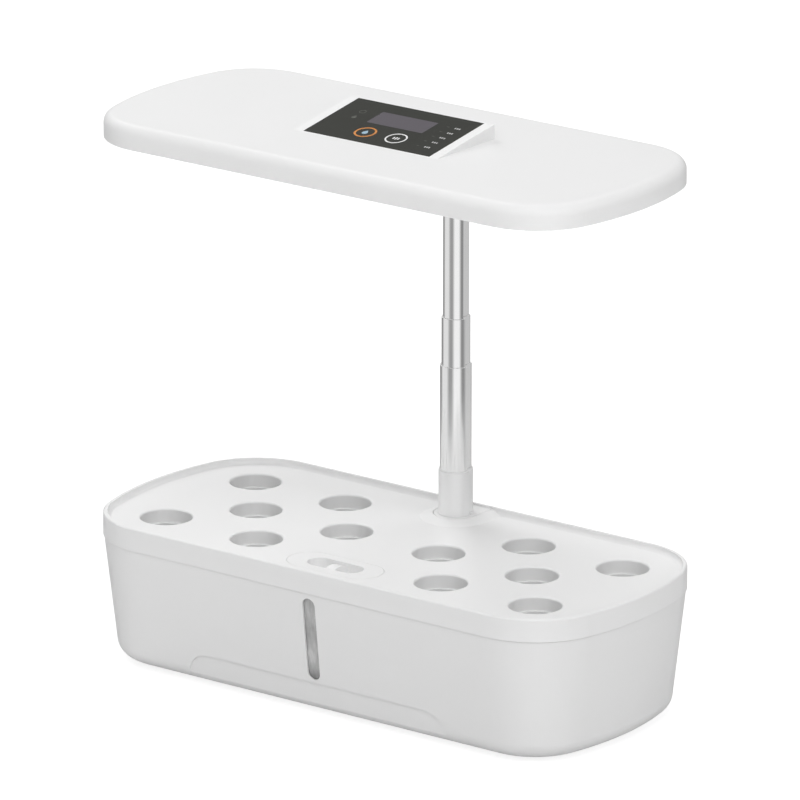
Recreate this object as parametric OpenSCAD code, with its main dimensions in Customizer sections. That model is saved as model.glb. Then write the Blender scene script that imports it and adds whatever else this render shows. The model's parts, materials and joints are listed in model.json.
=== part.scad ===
// Countertop hydroponic garden: a water tank with a lift-off planting deck and a small
// circulation pump, and a grow lamp on a three-draw telescopic mast.
// Millimetres. X runs along the tank, -Y is the front, +Z is up.
// The origin is on the ground under the middle of the tank.

/* [Tank and deck outline] */
// length of the tank over the deck's skirt
base_l = 368.6; // [320:0.2:440]
// width of the tank over the deck's skirt
base_w = 166.8; // [150:0.2:200]
// radius of the plan corners
corner_r = 48.2; // [30:0.1:60]
// radius of the crowned short sides
crown_r = 191.2; // [160:0.1:400]

/* [Tank] */
// height of the rubber feet below the tank
foot_h = 2; // [1:0.5:5]
// diameter of a rubber foot
foot_d = 16; // [10:1:24]
// distance of the feet in from the ends of the tank
foot_in_x = 54.3; // [44:0.1:80]
// distance of the feet in from the front and the back of the tank
foot_in_y = 33.4; // [30:0.1:50]
// height of the parting line between tank and deck above the ground
seam_z = 78.4; // [60:0.2:110]
// how far the tank wall leans in from the parting line to the bottom round
tank_draft = 7.4; // [2:0.1:12]
// how far the tank wall stands inside the deck's skirt at the parting line
tank_step = 0.5; // [0.2:0.1:1.5]
// radius of the round along the tank's bottom edge
bottom_r = 11; // [6:0.5:16]
// thickness of the tank wall and floor
tank_wall = 3; // [2:0.1:4]

/* [Level window] */
// width of the window slot
slot_w = 9.3; // [6:0.1:16]
// height of the window slot
slot_h = 52.7; // [30:0.1:60]
// height of the middle of the slot
slot_z = 49; // [40:0.5:56]
// thickness of the clear window
window_t = 1.4; // [1:0.1:2]
// thickness of the window's gasket
gasket_t = 0.5; // [0.3:0.1:1]
// depth of the wall in front of the gasket
window_seat = 1.2; // [0.8:0.1:1.6]
// how far the window reaches past the slot all round
window_lap = 2.2; // [1.6:0.1:2.4]

/* [Front relief] */
// half length of the shallow relief along the bottom of the front
relief_x = 96; // [60:1:120]
// height of the relief's upper edge
relief_z = 21; // [16:0.5:30]
// radius of the relief's upper corners
relief_r = 15; // [6:1:18]
// depth of the relief
relief_d = 0.8; // [0.3:0.1:1]

/* [Deck] */
// height of the deck's growing surface
deck_z = 88.9; // [86:0.1:130]
// thickness of the deck plate
deck_t = 2.4; // [1.8:0.1:4]
// height of the raised rim above the deck surface
rim_h = 3.6; // [1:0.1:4]
// width of the raised rim
rim_w = 2.6; // [2:0.1:6]
// radius of the rim's outer edge
rim_r = 1.1; // [0.5:0.1:2]
// thickness of the deck's skirt
skirt_t = 1.8; // [1.4:0.1:3]
// radius of the hollow where the growing surface turns up into the rim
rim_hollow = 2.6; // [0.5:0.1:3]
// width of the splash lip round the mast's notch, on its top
lip_flat = 0.8; // [0.6:0.1:3]
// width of the slope from the splash lip down to the growing surface
lip_slope = 7.2; // [3:0.1:9]

/* [Planting holes] */
// distance between neighbouring holes of one row
hole_pitch = 69; // [60:0.5:72]
// distance between rows
row_pitch = 43.5; // [42:0.5:48]
// diameter of a planting hole
hole_d = 31.5; // [24:0.1:33]
// radius of the round at a hole's mouth
hole_round = 1.2; // [1:0.1:2.5]
// depth of the straight collar wall below the round
collar_depth = 7.7; // [5:0.1:14]
// width of the ledge at the foot of a collar
ledge_w = 1.2; // [1:0.1:4]
// thickness of the collar wall and its ledge
collar_t = 2; // [1.4:0.1:2.4]

/* [Fill port and lid] */
// distance of the fill port's middle in from the front
port_in = 27.5; // [24:0.1:34]
// length of the fill lid
lid_l = 65; // [50:0.5:70]
// width of the fill lid
lid_w = 28.6; // [18:0.1:30]
// thickness of the lid's plate
lid_t = 2; // [1.5:0.1:2]
// how far the lid's spigot stays inside the lid's edge
lid_ledge = 3.5; // [3:0.1:5]
// length of the finger recess in the lid
grip_l = 38.4; // [26:0.2:44]
// width of the finger recess in the lid
grip_w = 15; // [10:0.1:17]
// wall round the finger recess
grip_t = 1.6; // [1.2:0.1:2]
// depth of the finger recess
grip_d = 6; // [3:0.5:8]
// width of the finger bar across the recess
bar_w = 6.6; // [5:0.1:9]
// how much lower than its middle the finger bar is at its ends
bar_drop = 2; // [0:0.1:3]

/* [Mast] */
// distance of the mast in from the back
mast_in = 21; // [20.5:0.1:26]
// height of the mast foot's top above the growing surface
boss_h = 2.4; // [0.5:0.1:3]
// half width of the mast foot
boss_w = 13.2; // [12.8:0.1:16]
// radius of the upper tube's round front lobe
mast_r = 7.7; // [6:0.1:9]
// half width of the upper tube's narrow rear lobe
lobe_w = 4.6; // [3:0.1:6]
// how far in front of the axis the round lobe of the upper tube ends
lobe_y = 2.4; // [1:0.1:4]
// how much each tube is larger all round than the one it takes
tube_step = 0.86; // [0.5:0.02:1]
// wall thickness of the tubes
tube_t = 0.45; // [0.3:0.05:0.5]
// height of the fixed tube above the mast foot
collar_h = 27.3; // [20:0.1:40]
// length of the lower tube that shows
lower_out = 66; // [10:0.1:90]
// length of the middle tube that shows
middle_out = 30; // [10:0.1:90]
// length of the upper tube that shows
upper_out = 112.2; // [60:0.1:130]
// length of the two sliding tubes with their glide shoes
tube_l = 117; // [100:1:130]
// height of a glide shoe below its tube
shoe_h = 6; // [4:0.5:10]

/* [Lamp] */
// how far the lamp's ends stay inside the ends of the tank
lamp_in_x = 3.1; // [0:0.1:10]
// how far the lamp's sides stay inside the sides of the tank
lamp_in_y = 3; // [0:0.1:6]
// radius of the lamp's plan corners
lamp_corner_r = 43.6; // [30:0.1:60]
// radius of the lamp's crowned short sides
lamp_crown_r = 193.1; // [160:0.1:400]
// thickness of the lamp at its edge
lamp_h = 14.4; // [12:0.1:24]
// radius of the lamp's upper edge
lamp_edge_r = 6; // [2:0.1:8]
// wall thickness of the lamp cover
lamp_wall = 2.2; // [1.6:0.1:2.6]

/* [Control wedge] */
// half width of the raised wedge
wedge_w = 53.1; // [50:0.1:60]
// distance of the wedge's front edge in front of the middle
wedge_front = 27; // [26:0.1:40]
// distance of the wedge's rear edge behind the middle
wedge_rear = 29.3; // [29:0.1:40]
// height of the wedge at its rear edge
wedge_h = 8.7; // [6:0.1:16]
// width of the touch panel
panel_w = 93; // [80:0.5:100]
// length of the touch panel up the slope
panel_l = 54.3; // [40:0.1:55]
// thickness of the touch panel
panel_t = 1.2; // [0.8:0.1:1.6]
// width of the display under the panel
display_w = 42; // [30:0.5:50]
// height of the display under the panel
display_h = 16.6; // [12:0.1:20]
// length of the control board
control_l = 80; // [70:1:84]
// width of the control board
control_w = 43; // [38:0.5:46]
// distance between the two touch springs
touch_dx = 22.6; // [18:0.1:30]

/* [LED board] */
// how far the LED board's ends stay inside the lamp's ends
board_in_x = 35.2; // [32:0.1:60]
// how much narrower than the lamp the LED board is
board_in_y = 56.8; // [54:0.1:80]
// distance of the board's middle in front of the lamp's middle
board_y = 10; // [8:0.5:14]
// thickness of the LED board
board_t = 1.6; // [1:0.1:2]
// distance of the outer LEDs in from the board's ends
led_in_x = 16; // [10:0.5:24]
// distance of the outer LEDs in from the board's long edges
led_in_y = 20; // [14:0.5:26]
// width of an LED package
led_w = 3.5; // [2:0.1:5]

/* [Pump] */
// where the pump's axis is along X
pump_x = -66; // [-120:1:-50]
// where the pump's front cover begins along Y
pump_y = -24; // [-40:1:-10]
// width of the pump's housing
pump_w = 36; // [30:1:46]
// height of the pump's housing
pump_h = 30; // [26:1:40]
// length of the pump's housing behind its cover
pump_l = 34; // [30:1:50]
// distance of the suction cups in from the housing's sides
cup_in = 7; // [5:0.5:9]

/* [Hidden] */
$fn = 96;
e = 0.01;
fit = 0.1;                         // clearance of a sliding or set-in fit
gap = 0.3;                         // air between pieces that lift apart
lid_gap = 0.25;                    // air round the fill lid
rib_l = base_l - 68.6;             // length and height of the ribs under the deck
rib_h = 6;
port_h = 4;                        // depth of the wall round the fill port
spigot_h = 1.5;                    // how far the lid's spigot reaches below its plate
tank_z = foot_h;                   // underside of the tank
floor_z = tank_z + tank_wall;      // top of the tank floor
rim_z = deck_z + rim_h;            // top of the deck's rim
mast_y = base_w / 2 - mast_in;     // the mast's axis behind the middle
port_y = base_w / 2 - port_in;     // the fill port's middle in front of the middle
lamp_l = base_l - 2 * lamp_in_x;
lamp_w = base_w - 2 * lamp_in_y;
board_l = lamp_l - 2 * board_in_x;
board_w = lamp_w - board_in_y;
led_dx = (board_l - 2 * led_in_x) / 13;  // distance between LEDs along a row
led_dy = (board_w - 2 * led_in_y) / 4;   // distance between LED rows
plate_z = deck_z - deck_t;         // underside of the deck plate
lip_in = skirt_t + gap;            // tank lip's face, measured in from the outline
draft_a = atan(tank_draft / (seam_z - tank_z - bottom_r));
boss_z = deck_z + boss_h;          // top of the mast foot
notch_gap = 0.4;                   // air round the mast foot in the deck's notch
o_base = 3 * tube_step;            // how much each tube is larger than the upper one
o_lower = 2 * tube_step;
o_middle = tube_step;
mast_screw_y = 5;                  // the mast screws before and behind the axis
pocket_z = floor_z + 1;            // bottom of the mast's pocket in the column
base_top = boss_z + collar_h;      // top of the fixed tube
lower_top = base_top + lower_out;  // tops of the sliding tubes
middle_top = lower_top + middle_out;
lamp_z = middle_top + upper_out;   // lower edge of the lamp
lamp_top = lamp_z + lamp_h;
upper_end = lamp_z + 9.4;          // top of the upper tube, in the mast head
upper_low = middle_top - 17;       // lower end of the upper tube's glide shoe
lip_h = 1.5;                       // height of the rolled-in mouth of a tube
ring_h = 0.8;                      // height of the ring in the fixed tube's mouth
foot_ring_w = 0.6;                 // width and height of the ring round the mast's foot
foot_ring_h = 0.5;
head_gap = 2.4;                    // air round the upper tube in the lamp tray's opening
head_t = 2.1;                      // wall of the mast head round the upper tube
trim_w = 3.2;                      // width of the trim ring under the lamp
ear_l = 38;                        // length of the mast head's ears
screw_hole = 1.45;                 // radius of a screw's free hole
tray_screw_l = 8.5;                // lengths of the screws in the lamp
board_screw_l = 7;
pilot_l = 9;                       // depth of their holes, from the tray's underside
lead_in = 8;                       // how far above its shoe the mast's lead begins
tray_z = lamp_z + 1.2;             // underside of the lamp tray
tray_t = 2;
roof_z = lamp_top - lamp_wall;     // inside of the lamp's top
board_z = tray_z + tray_t;         // underside of the LED board
slope_a = atan(wedge_h / (wedge_front + wedge_rear));
board_drop = 2.6;                  // air between the touch panel and the control board
control_y = 2.5;                   // middle of the control board up the slope
control_t = 1.6;
post_r = 2;                        // radius of the control board's posts
post_y = control_w / 2 - 6.5;      // their distance from its middle line
pump_z = floor_z + 3;              // underside of the pump's housing
pump_mid = pump_z + pump_h / 2;    // height of the pump's axis
rotor_r = 8;                       // radius of the impeller's magnet
vane_r = 10.5;                     // radius over the impeller's vanes
cover_l = 8;                       // depth of the pump's cover
outlet_x = pump_x + 8;             // the pump's outlet
outlet_y = pump_y + 3.5;
shaft_r = 1;                       // radius of the pump's shaft
shaft_end = 4;                     // how far the shaft reaches into the cover's boss
shaft_l = 30;                      // and how far behind the cover's joint
chamber_l = 27;                    // depth of the magnet's chamber
vane_l = 5;                        // depth of the vanes, in front of the magnet
tray_screw_at = [
  [lamp_l / 2 - 29.2, lamp_w / 2 - 22.4], [lamp_l / 2 - 29.2, 22.4 - lamp_w / 2],
  [62, lamp_w / 2 - 14.4], [62, 10.4 - lamp_w / 2]
];
lead_r = 2;                        // radius of the pump's lead
plug_l = 4.5;                      // length of the plug on the lead
socket_x = -boss_w - 5;            // outer face of the pump's socket on the mast column
socket_y = mast_y + 6;
socket_z = seam_z - 10;
jack_w = 9;                        // width and depth of the power inlet
jack_l = 8.6;
lead_y = pump_y + pump_l;          // where the lead leaves the pump
lead_z = pump_z + 16;
// the lead's bends from the socket to the pump: x, the share of the way along Y, and z
lead_bends = [
  [-27, 1, 68.4], [-30.8, 0.997, 66.4], [-33.4, 0.986, 61], [-34.2, 0.973, 52], [-34.6, 0.942, 41],
  [-35.4, 0.89, 30], [-38, 0.815, 19.5], [-42.5, 0.702, 11.5], [-48.5, 0.582, 7.8],
  [-54.6, 0.462, 7.8], [-60, 0.349, 10.4], [-63.6, 0.247, 15.6], [-65.4, 0.154, 21], [-66, 0.075, 24]
];
lead_route = concat(
  [[socket_x - plug_l, socket_y, socket_z]],
  [for (b = lead_bends) [b.x, lead_y + b.y * (socket_y - lead_y), b.z]],
  [[pump_x, lead_y, lead_z]]
);

// ---------- plan outlines and the bodies swept round them ----------

// where the corner arcs of an outline are centred along X, so that they touch the crown
function corner_x(l, w, r, c) = l / 2 - c + sqrt(pow(c - r, 2) - pow(w / 2 - r, 2));

// A body whose side follows a rounded outline with crowned short sides. The children
// are half a section: x = 0 is the outline, inwards is -x, and y is the height.
module outline_body(l, w, r, c) {
  cx = corner_x(l, w, r, c);
  cy = w / 2 - r;
  k = 1.5 * (cx - l / 2 + c);
  for (sx = [-1, 1], sy = [-1, 1])
    translate([sx * cx, sy * cy, 0])
      rotate_extrude()
        half_section(r) children();
  rotate([90, 0, 90])
    translate([0, 0, -cx])
      linear_extrude(2 * cx) {
        half_section(w / 2) children();
        mirror([1, 0]) half_section(w / 2) children();
      }
  for (side = [0, 1])
    mirror([side, 0, 0])
      translate([l / 2 - c, 0, 0])
        intersection() {
          rotate_extrude($fn = 240)
            half_section(c) children();
          linear_extrude(500)
            polygon([[0, 0], [k, -1.5 * cy], [1.5 * c, 0], [k, 1.5 * cy]]);
        }
}

// the part of a section between the axis and the outline
module half_section(r) {
  intersection() {
    translate([r, 0]) children();
    square([r + 1, 500]);
  }
}

// a straight-sided section between two heights, at one distance in from the outline
module band(inset, z0, z1) {
  translate([-400, z0]) square([400 - inset, z1 - z0]);
}

module base_body() {
  outline_body(base_l, base_w, corner_r, crown_r) children();
}

module lamp_body() {
  outline_body(lamp_l, lamp_w, lamp_corner_r, lamp_crown_r) children();
}

// how far in from the outline the tank's drafted wall stands at height z
function wall_inset(z) = tank_step + (seam_z - z) * tan(draft_a);

// Section of the drafted tank below z_top, its bottom edge rounded to radius r. depth is
// how far inside the wall's outer face it stays.
module tank_section(depth, z_low, r, z_top) {
  shift = depth / cos(draft_a);
  low = -wall_inset(z_low) - shift;
  tangent = r / tan(45 + draft_a / 2);
  difference() {
    polygon([[-400, z_low], [low, z_low], [-wall_inset(z_top) - shift, z_top], [-400, z_top]]);
    difference() {
      polygon([
        [low + 1, z_low - 1], [low - tangent, z_low - 1], [low - tangent, z_low + r],
        [low + tangent * sin(draft_a), z_low + tangent * cos(draft_a)],
        [low + tangent * sin(draft_a) + 1, z_low + tangent * cos(draft_a)]
      ]);
      translate([low - tangent, z_low + r]) circle(r + 0.005);
    }
  }
}

// rectangle with round ends, along X
module stadium(l, w) {
  square([l - w, w], center = true);
  for (s = [-1, 1])
    translate([s * (l - w) / 2, 0]) circle(w / 2);
}

// rectangle with rounded corners
module round_rect(l, w, r) {
  square([l - 2 * r, w], center = true);
  square([l, w - 2 * r], center = true);
  for (sx = [-1, 1], sy = [-1, 1])
    translate([sx * (l / 2 - r), sy * (w / 2 - r)]) circle(r);
}

// where the planting holes are: the middle row is set half a pitch from the other two
function hole_places() = concat(
  [for (i = [-1.5 : 1 : 1.5]) [i * hole_pitch, 0]],
  [for (i = [-2, -1, 1, 2], s = [-1, 1]) [i * hole_pitch, s * row_pitch]]
);

// ---------- mast section ----------

// round front lobe and narrow rear lobe, o larger all round than the upper tube
module mast_section(o) {
  r = mast_r + o;
  w = lobe_w + o;
  y = lobe_y - o;
  rear_r = 1.2 + o;
  intersection() {
    circle(r);
    translate([-r, -r]) square([2 * r, r - y]);
  }
  translate([-w, -y - 1]) square([2 * w, r - rear_r + y + 1]);
  translate([-w + rear_r, 0]) square([2 * (w - rear_r), r]);
  for (s = [-1, 1])
    translate([s * (w - rear_r), r - rear_r]) circle(rear_r, $fn = 24);
}

// a length of the mast's section, from z0 to z1
module mast_bar(o, z0, z1) {
  translate([0, mast_y, z0]) linear_extrude(z1 - z0) mast_section(o);
}

// drawn tube with its mouth rolled in towards the tube that it takes
module mast_tube(o, z0, z1) {
  difference() {
    mast_bar(o, z0, z1);
    mast_bar(o - tube_t, z0 - 1, z1 - lip_h);
    mast_bar(o - tube_step + 0.08, z1 - lip_h - e, z1 + 1);
  }
}

// plug in a tube's lower end that glides in the next tube
module glide_shoe(o, z) {
  difference() {
    union() {
      mast_bar(o + tube_step - tube_t - 0.06, z, z + shoe_h);
      mast_bar(o - tube_t - 0.03, z + shoe_h - e, z + shoe_h + 5);
    }
    translate([0, mast_y, z - 1]) cylinder(h = shoe_h + 8, r = 4.2);
  }
}

// ---------- tank ----------

// the front wall's own frame: x along, z up the wall, -y out of it
module on_front_wall(z) {
  translate([0, -base_w / 2 + wall_inset(z), z])
    rotate([draft_a, 0, 0])
      children();
}

// an upright shape in that frame, cut from depth d0 to d1 behind the wall's face
module wall_cut(d0, d1) {
  translate([0, d1, 0]) rotate([90, 0, 0]) linear_extrude(d1 - d0) children();
}

module slot_outline(grow) {
  rotate(90) stadium(slot_h + 2 * grow, slot_w + 2 * grow);
}

module column_plan(w) {
  translate([0, mast_y]) circle(w);
  translate([-w, mast_y]) square([2 * w, base_w]);
}

// outside of the mast column, flush with the tank below and with the deck's rim above
module column_shell() {
  intersection() {
    translate([0, 0, tank_z]) linear_extrude(rim_z - tank_z) column_plan(boss_w);
    difference() {
      base_body() {
        tank_section(0, tank_z, bottom_r, seam_z);
        difference() {
          band(0, seam_z - e, rim_z);
          edge_round(rim_r, rim_z);
        }
      }
      base_body() dish(boss_z, (rim_z - boss_z) / 2);
    }
  }
}

// section of what is taken out above a surface at height z, inside the rim, with a hollow
// of radius r where the surface turns up into the rim
module dish(z, r) {
  difference() {
    band(rim_w, z, rim_z + 1);
    difference() {
      translate([-rim_w - r, z - 1]) square(r + 1);
      translate([-rim_w - r, z + r]) circle(r);
    }
  }
}

// what a round of radius r takes off the outer upper edge at height z
module edge_round(r, z) {
  difference() {
    translate([-r, z - r]) square(r + 1);
    translate([-r, z - r]) circle(r);
  }
}

module water_tank() {
  color("#dcdcdc")
    difference() {
      union() {
        difference() {
          base_body() {
            tank_section(0, tank_z, bottom_r, seam_z - gap);
            band(lip_in, seam_z - gap - e, plate_z - gap);
          }
          base_body() {
            tank_section(tank_wall, floor_z, bottom_r - tank_wall, seam_z);
            band(tank_step + tank_wall / cos(draft_a), seam_z - e, plate_z + 1);
          }
        }
        column_shell();
      }
      mast_bar(o_base + 0.03, pocket_z, boss_z + 1);
      for (s = [-1, 1])
        translate([0, mast_y + s * mast_screw_y, tank_z - 1]) cylinder(h = 20, r = 1.6);
      for (s = [-1, 1])
        translate([0, mast_y + s * mast_screw_y, tank_z - 1]) cylinder(h = 2.8, r = 3.1);
      foot_places() translate([0, 0, tank_z - 1]) cylinder(h = 2, d = foot_d + 2 * fit);
      jack_place() jack_shape(fit);
      pump_socket_place() translate([0, -3.5, -3.6]) cube([8, 7, 7.2]);
      on_front_wall(slot_z) {
        wall_cut(-5, 10) slot_outline(0);
        wall_cut(window_seat, 10) slot_outline(window_lap + fit);
      }
      on_front_wall(relief_z) relief_cut();
    }
}

module relief_cut() {
  wall_cut(-8, relief_d)
    intersection() {
      translate([0, -50]) round_rect(2 * relief_x, 100, relief_r);
      translate([-200, -60]) square([400, 60]);
    }
}

module foot_places() {
  for (sx = [-1, 1], sy = [-1, 1])
    translate([sx * (base_l / 2 - foot_in_x), sy * (base_w / 2 - foot_in_y), 0]) children();
}

module feet() {
  color("#4a4a4a")
    foot_places() {
      cylinder(h = foot_h + 1, d = foot_d);
    }
}

module level_window() {
  color("#b4b8ba", 0.6)
    on_front_wall(slot_z)
      wall_cut(window_seat + gasket_t, window_seat + gasket_t + window_t) slot_outline(window_lap);
}

module window_gasket() {
  color("#8a8a8a")
    on_front_wall(slot_z)
      wall_cut(window_seat, window_seat + gasket_t)
        difference() {
          slot_outline(window_lap);
          slot_outline(0.6);
        }
}

// ---------- deck and fill lid ----------

module planting_deck() {
  wall_r = hole_d / 2;
  color("#e6e6e6")
    difference() {
      union() {
        difference() {
          base_body() {
            difference() {
              band(0, seam_z, rim_z);
              edge_round(rim_r, rim_z);
            }
          }
          base_body() band(skirt_t, seam_z - 1, plate_z);
          base_body() dish(deck_z, rim_hollow);
        }
        splash_lip();
        for (p = hole_places())
          translate([p.x, p.y, collar_low()])
            cylinder(h = plate_z - collar_low() + e, r = wall_r + collar_t);
        for (s = [-1, 1])
          translate([-rib_l / 2, s * row_pitch / 2 - 1, plate_z - rib_h]) cube([rib_l, 2, rib_h + e]);
        translate([0, -port_y, plate_z - port_h])
          linear_extrude(port_h + e) stadium(lid_l + 5, lid_w + 5);
      }
      for (p = hole_places())
        translate([p.x, p.y, 0]) hole_cut();
      translate([0, -port_y, deck_z - lid_t - gap])
        linear_extrude(10) stadium(lid_l + 2 * lid_gap, lid_w + 2 * lid_gap);
      translate([0, -port_y, plate_z - 10])
        linear_extrude(20) stadium(lid_l - 2 * lid_ledge + 1, lid_w - 2 * lid_ledge + 1);
      translate([0, 0, seam_z - 1]) linear_extrude(20) column_plan(boss_w + notch_gap);
    }
}

// the lip that keeps water on the deck out of the mast's notch
module splash_lip() {
  intersection() {
    translate([0, mast_y, 0]) rotate_extrude() lip_section();
    translate([-base_w, mast_y - base_w, 0]) cube([2 * base_w, base_w, 2 * deck_z]);
  }
  for (side = [0, 1])
    mirror([side, 0, 0])
      translate([0, base_w / 2 - rim_w, 0])
        rotate([90, 0, 0])
          linear_extrude(mast_in - rim_w) lip_section();
}

// section of the splash lip, from the mast's axis outwards
module lip_section() {
  w = boss_w + notch_gap + lip_flat;
  polygon([
    [boss_w - 1, deck_z - 1], [w + lip_slope, deck_z - 1], [w + lip_slope, deck_z],
    [w, boss_z], [boss_w - 1, boss_z]
  ]);
}

// underside of the planting collars
function collar_low() = deck_z - hole_round - collar_depth - collar_t;

// rounded mouth, straight wall and ledge of one planting hole
module hole_cut() {
  wall_r = hole_d / 2;
  wall_top = deck_z - hole_round;
  translate([0, 0, wall_top - collar_depth]) cylinder(h = collar_depth + hole_round + 5, r = wall_r);
  translate([0, 0, collar_low() - 1]) cylinder(h = 10, r = wall_r - ledge_w);
  rotate_extrude()
    difference() {
      translate([wall_r - 1, wall_top]) square([hole_round + 1, hole_round + 5]);
      translate([wall_r + hole_round, wall_top]) circle(hole_round, $fn = 48);
    }
}

module fill_lid() {
  color("#e8e8e8")
    translate([0, -port_y, deck_z])
      difference() {
        union() {
          translate([0, 0, -lid_t]) linear_extrude(lid_t) stadium(lid_l, lid_w);
          translate([0, 0, -lid_t - spigot_h])
            linear_extrude(spigot_h + 0.5) stadium(lid_l - 2 * lid_ledge, lid_w - 2 * lid_ledge);
          translate([0, 0, -grip_d - grip_t])
            linear_extrude(grip_d + 1) stadium(grip_l + 2 * grip_t, grip_w + 2 * grip_t);
        }
        difference() {
          translate([0, 0, -grip_d]) linear_extrude(grip_d + 2) stadium(grip_l, grip_w);
          finger_bar();
        }
      }
}

// the bar across the lid's recess, arched from one side to the other
module finger_bar() {
  arch_r = (pow(grip_w / 2, 2) + pow(bar_drop, 2)) / (2 * bar_drop);
  intersection() {
    translate([-bar_w / 2, -grip_w, -grip_d - 1]) cube([bar_w, 2 * grip_w, grip_d + 2]);
    translate([-bar_w, 0, -arch_r - 0.2]) rotate([0, 90, 0]) cylinder(h = 2 * bar_w, r = arch_r);
  }
}

// ---------- mast ----------

module mast_base_tube() {
  color("#d2d3d4")
    difference() {
      mast_bar(o_base, pocket_z, base_top);
      mast_bar(o_base - tube_t, pocket_z - 1, base_top + 1);
    }
}

module mast_anchor() {
  color("#3c3c3c")
    difference() {
      mast_bar(o_base - tube_t - 0.03, pocket_z, pocket_z + 5);
      for (s = [-1, 1])
        translate([0, mast_y + s * mast_screw_y, 0]) cylinder(h = pocket_z + 4, r = 1.3, $fn = 24);
    }
}

module mast_screws() {
  color("#9a9a9a")
    for (s = [-1, 1])
      translate([0, mast_y + s * mast_screw_y, 0]) {
        translate([0, 0, tank_z]) screw_up(pocket_z + 3.9 - tank_z - 1.8, 1.25, 2.8, 1.8);
      }
}

// pan-head screw that points up, its head's underside at the origin
module screw_up(l, r, head_r, head_h) {
  cylinder(h = head_h, r = head_r, $fn = 32);
  translate([0, 0, head_h - e]) cylinder(h = l + e, r = r, $fn = 24);
}

module mast_foot_ring() {
  color("#e2e2e2")
    difference() {
      mast_bar(o_base + foot_ring_w, boss_z, boss_z + foot_ring_h);
      mast_bar(o_base + 0.03, boss_z - 1, boss_z + foot_ring_h + 1);
    }
}

module mouth_ring() {
  color("#707274")
    difference() {
      mast_bar(o_base - 0.15, base_top, base_top + ring_h);
      mast_bar(o_lower + 0.06, base_top - 1, base_top + 2);
    }
}

module lower_tube() {
  color("#bfc1c3") mast_tube(o_lower, lower_top - tube_l + shoe_h, lower_top);
}

module lower_shoe() {
  color("#3c3c3c") glide_shoe(o_lower, lower_top - tube_l);
}

module middle_tube() {
  color("#bfc1c3") mast_tube(o_middle, middle_top - tube_l + shoe_h, middle_top);
}

module middle_shoe() {
  color("#3c3c3c") glide_shoe(o_middle, middle_top - tube_l);
}

module upper_tube() {
  color("#bfc1c3")
    difference() {
      mast_bar(0, upper_low + shoe_h, upper_end);
      mast_bar(-tube_t, upper_low, upper_end + 1);
    }
}

module upper_shoe() {
  color("#3c3c3c") glide_shoe(0, upper_low);
}

// the curly lead's upper stretch, as the plain tube that its turns fill
module mast_lead() {
  color("#2c2c2c")
    translate([0, mast_y - 0.5, upper_low + shoe_h + lead_in])
      cylinder(h = upper_end - upper_low - shoe_h - lead_in, r = 3.8, $fn = 32);
}

// ---------- lamp ----------

// the plane of the wedge's slope: x across, y up the slope, z out of it
module on_slope() {
  translate([0, -wedge_front, lamp_top]) rotate([slope_a, 0, 0]) children();
}

module wedge_prism(w, z_low, shift) {
  rotate([90, 0, 90])
    translate([0, 0, -w])
      linear_extrude(2 * w)
        polygon([
          [-wedge_front + shift, z_low],
          [-wedge_front + shift, lamp_top - shift],
          [wedge_rear - shift, lamp_top + wedge_h - shift],
          [wedge_rear - shift, z_low]
        ]);
}

// places of the panel's corner posts, and of the panel itself, on the slope
module panel_place() {
  on_slope() translate([0, 1.3 + panel_l / 2, 0]) children();
}

module lamp_cover() {
  color("#f0f0f0")
    difference() {
      union() {
        difference() {
          union() {
            lamp_body() {
              difference() {
                band(0, lamp_z, lamp_top);
                edge_round(lamp_edge_r, lamp_top);
              }
            }
            wedge_prism(wedge_w, roof_z, 0);
          }
          lamp_body() {
            difference() {
              band(lamp_wall, lamp_z - 1, roof_z);
              translate([-lamp_wall, -lamp_wall]) edge_round(lamp_edge_r - lamp_wall, lamp_top);
            }
          }
          wedge_prism(wedge_w - lamp_wall, roof_z - e, lamp_wall);
        }
        screw_places(tray_screw_at) boss(tray_z + tray_t);
        board_screw_places() boss(board_z + board_t);
        head_screw_places() boss(upper_end + 0.4);
      }
      screw_places(tray_screw_at) translate([0, 0, tray_z]) cylinder(h = pilot_l, r = 1.3, $fn = 24);
      board_screw_places() translate([0, 0, tray_z]) cylinder(h = pilot_l, r = 1.3, $fn = 24);
      head_screw_places() translate([0, 0, upper_end - 2]) cylinder(h = 4, r = 1.3, $fn = 24);
      panel_place()
        translate([0, 0, -panel_t])
          linear_extrude(10) square([panel_w + 2 * fit, panel_l + 2 * fit], center = true);
      panel_place()
        translate([0, 0, -5]) linear_extrude(10) square([panel_w - 8, panel_l - 14], center = true);
    }
}

// screw boss that hangs from the lamp's roof down to height z
module boss(z) {
  translate([0, 0, z]) cylinder(h = roof_z - z + e, r = 3.2, $fn = 48);
}

module screw_places(at) {
  for (p = at, s = [0, 1])
    mirror([s, 0, 0]) translate([p.x, p.y, 0]) children();
}

// at the board's ends and on both sides of the control wedge, clear of its hollow
module board_screw_places() {
  for (x = [board_l / 2 - 10, wedge_w + 8], sx = [-1, 1], sy = [-1, 1])
    translate([sx * x, -board_y + sy * (board_w / 2 - 10), 0]) children();
}

module head_screw_places() {
  for (s = [-1, 1])
    translate([s * (ear_l / 2 - 4.5), mast_y - 2, 0]) children();
}

module lamp_tray() {
  color("#ececec")
    difference() {
      lamp_body() band(lamp_wall + 0.25, tray_z, tray_z + tray_t);
      translate([0, -board_y, tray_z - 1]) linear_extrude(5) round_rect(board_l - 8, board_w - 8, 10);
      mast_bar(head_gap, tray_z - 1, tray_z + 5);
      screw_places(tray_screw_at) translate([0, 0, tray_z - 1]) cylinder(h = 5, r = screw_hole, $fn = 24);
    }
}

module tray_screws() {
  color("#b8b8b8")
    screw_places(tray_screw_at) translate([0, 0, tray_z - 1]) screw_up(tray_screw_l, 1.2, 2.7, 1);
}

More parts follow.
